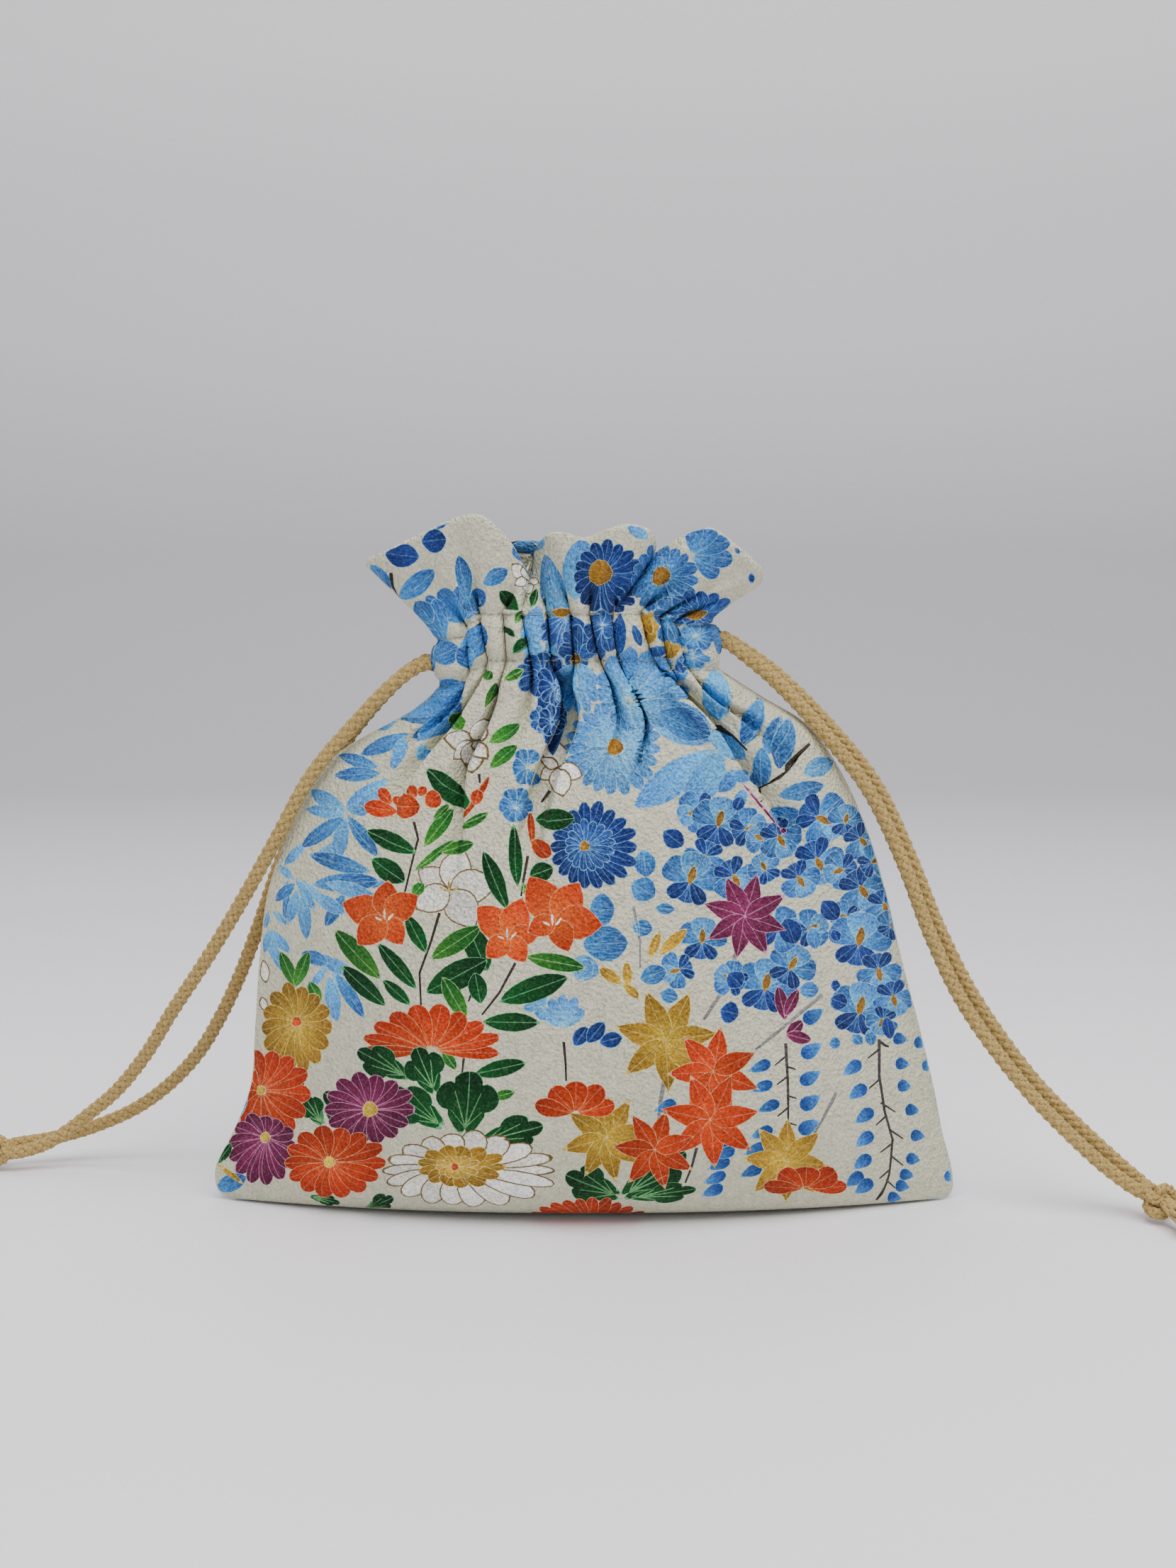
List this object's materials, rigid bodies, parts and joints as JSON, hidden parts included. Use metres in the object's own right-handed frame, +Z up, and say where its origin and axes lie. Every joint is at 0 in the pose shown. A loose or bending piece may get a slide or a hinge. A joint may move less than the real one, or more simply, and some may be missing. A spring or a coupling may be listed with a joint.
{
  "type": "kinchaku drawstring pouch",
  "caption": "Two-panel lined cloth drawstring pouch with a gathered neck, a frill and two braided draw cords ending in knots and tassels.",
  "frame": {"origin": "middle of the pouch's base, on the surface it stands on", "axes": "+Z up, +X to the right as the front is seen, +Y towards the back"},
  "size_m": [0.3677, 0.0843, 0.187],
  "materials": {
    "printed_crepe": "matt crepe weave with a floral print",
    "lining_cotton": "plain matt cotton",
    "braided_cord": "soft braided yarn"
  },
  "bodies": {
    "root": {"outer_front_panel": "printed_crepe", "front_casing_and_frill": "printed_crepe", "outer_back_panel": "printed_crepe", "back_casing_and_frill": "printed_crepe", "lining_front_panel": "lining_cotton", "lining_back_panel": "lining_cotton", "drawcord_left_front_strand": "braided_cord", "drawcord_left_back_strand": "braided_cord", "drawcord_left_casing_loop": "braided_cord", "drawcord_right_front_strand": "braided_cord", "drawcord_right_back_strand": "braided_cord", "drawcord_right_casing_loop": "braided_cord", "left_knot": "braided_cord", "left_tassel": "braided_cord", "right_knot": "braided_cord", "right_tassel": "braided_cord"}
  },
  "joints": []
}
